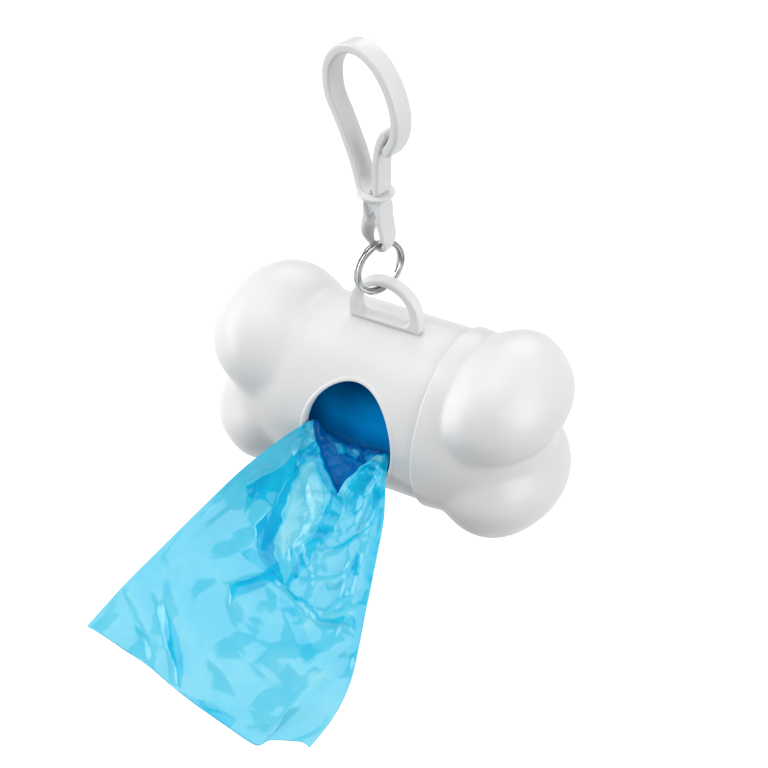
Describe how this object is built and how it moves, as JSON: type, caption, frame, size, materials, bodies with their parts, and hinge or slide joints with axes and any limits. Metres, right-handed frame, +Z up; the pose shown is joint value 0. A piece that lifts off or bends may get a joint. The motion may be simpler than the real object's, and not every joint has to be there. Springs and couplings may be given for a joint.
{
  "type": "dog waste bag dispenser",
  "caption": "Bone-shaped white dispenser for a roll of dog waste bags, with a removable lobed cap, a carry loop, a split ring and a snap hook; one blue bag is pulled out.",
  "frame": {"origin": "inner top of the snap hook's loop, the bight that it hangs by", "axes": "+Z up through the hook, +X along the bone to the removable cap, -Y out of the front opening"},
  "size_m": [0.085, 0.0998, 0.1177],
  "materials": {
    "white_plastic": "satin moulded plastic",
    "ring_steel": "nickel plated spring steel",
    "bag_film": "thin glossy film",
    "core_board": "raw board"
  },
  "bodies": {
    "hook": {"hook_body": "white_plastic"},
    "gate": {"hook_gate": "white_plastic"},
    "ring": {"split_ring": "ring_steel"},
    "dispenser": {"body_shell": "white_plastic", "carry_loop": "white_plastic"},
    "cap": {"end_cap": "white_plastic"},
    "roll": {"roll_core": "core_board", "bag_roll": "bag_film"},
    "bag": {"pulled_bag": "bag_film"}
  },
  "joints": [
    {"name": "gate_hinge", "type": "hinge", "parent": "hook", "child": "gate", "pos_m": [0.00459, -0.00123, -0.03019], "axis": [-0.2588, -0.9659, 0], "range_deg": [0, 22], "stiffness_Nm_per_rad": 0.02, "springref_deg": -5.73},
    {"name": "ring_swing", "type": "hinge", "parent": "hook", "child": "ring", "pos_m": [0.00351, -0.00094, -0.0457], "axis": [0.9659, -0.2588, 0], "range_deg": [-25, 25]},
    {"name": "dispenser_swing", "type": "hinge", "parent": "ring", "child": "dispenser", "pos_m": [0.00351, -0.00094, -0.05365], "axis": [1, 0, 0], "range_deg": [-25, 25]},
    {"name": "cap_pull", "type": "slide", "parent": "dispenser", "child": "cap", "axis": [1, 0, 0], "range_m": [0, 0.03]},
    {"name": "roll_spin", "type": "hinge", "parent": "dispenser", "child": "roll", "pos_m": [0.00601, -0.00094, -0.0877], "axis": [-1, 0, 0], "range_deg": [0, 240]},
    {"name": "bag_pull", "type": "slide", "parent": "dispenser", "child": "bag", "axis": [0, -0.9272, -0.3746], "range_m": [0, 0.06]}
  ],
  "couplings": [
    {"joint": "roll_spin", "follows": "bag_pull", "rad_per_m": 69.4}
  ]
}
